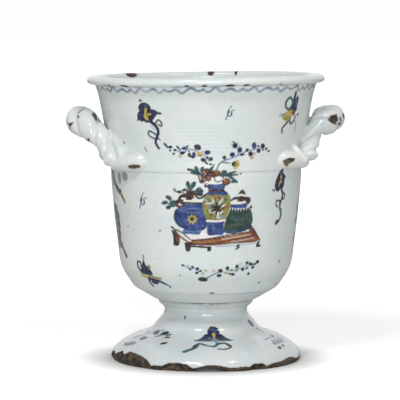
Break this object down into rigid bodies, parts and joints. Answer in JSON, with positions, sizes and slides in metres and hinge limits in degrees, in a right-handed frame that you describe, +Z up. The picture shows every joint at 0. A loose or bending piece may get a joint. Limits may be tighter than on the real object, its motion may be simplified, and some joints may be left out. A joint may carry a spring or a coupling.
{
  "type": "two-handled footed vase",
  "caption": "Footed vase of thick tin-glazed earthenware with a flared rolled lip, a spreading hollow foot and a twisted clay handle on each side.",
  "frame": {"origin": "centre of the foot ring, on the surface that the vase stands on", "axes": "+Z up the axis of the vase, X through the two handles, -Y to the front with the main painted scene"},
  "size_m": [0.2342, 0.2, 0.24],
  "materials": {
    "foot_glaze": "thick glossy off-white tin glaze, a little cooler than the body, chipped to brown clay at the edge",
    "body_glaze": "thick glossy off-white tin glaze with hand-painted blue, green, yellow and red decoration",
    "handle_glaze": "thick glossy off-white tin glaze, pooled in the grooves and chipped on the crowns"
  },
  "bodies": {
    "root": {"foot": "foot_glaze", "neck_collar": "body_glaze", "bowl_section": "body_glaze", "wall_section": "body_glaze", "left_handle_stub_roll": "handle_glaze", "left_handle_tail_roll": "handle_glaze", "right_handle_stub_roll": "handle_glaze", "right_handle_tail_roll": "handle_glaze"}
  },
  "joints": []
}
